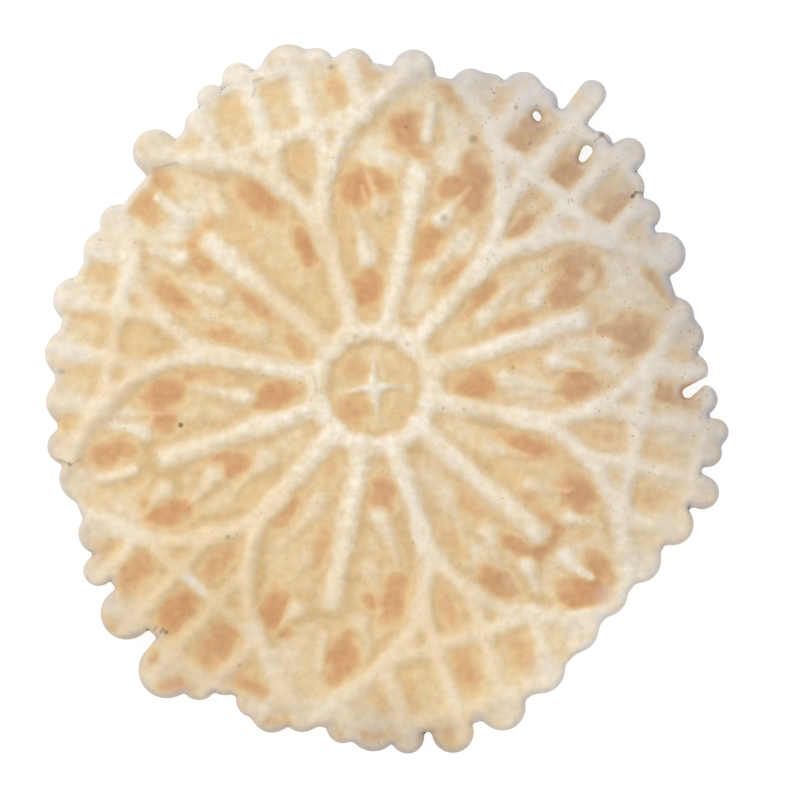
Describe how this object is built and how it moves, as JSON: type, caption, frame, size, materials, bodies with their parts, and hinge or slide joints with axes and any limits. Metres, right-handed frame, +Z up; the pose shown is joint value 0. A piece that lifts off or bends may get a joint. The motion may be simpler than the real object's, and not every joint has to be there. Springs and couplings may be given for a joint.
{
  "type": "pizzelle cookie",
  "caption": "Thin round crisp wafer cookie with a raised flower and lattice ribs on both faces and an uneven lobed rim, for eating or decorating a dessert.",
  "frame": {"origin": "centre of the flower, on the plane of the rib crests that the wafer rests on", "axes": "+Z up through the wafer towards the shown face, +X and +Y in its plane, with the first petal 18.5 degrees from +X towards +Y"},
  "size_m": [0.125, 0.1298, 0.0044],
  "materials": {
    "baked_wafer": "dry baked wafer: cream ribs, golden floor toasted light brown in the hollows, pale floury rim"
  },
  "bodies": {
    "root": {"wafer": "baked_wafer"}
  },
  "joints": []
}
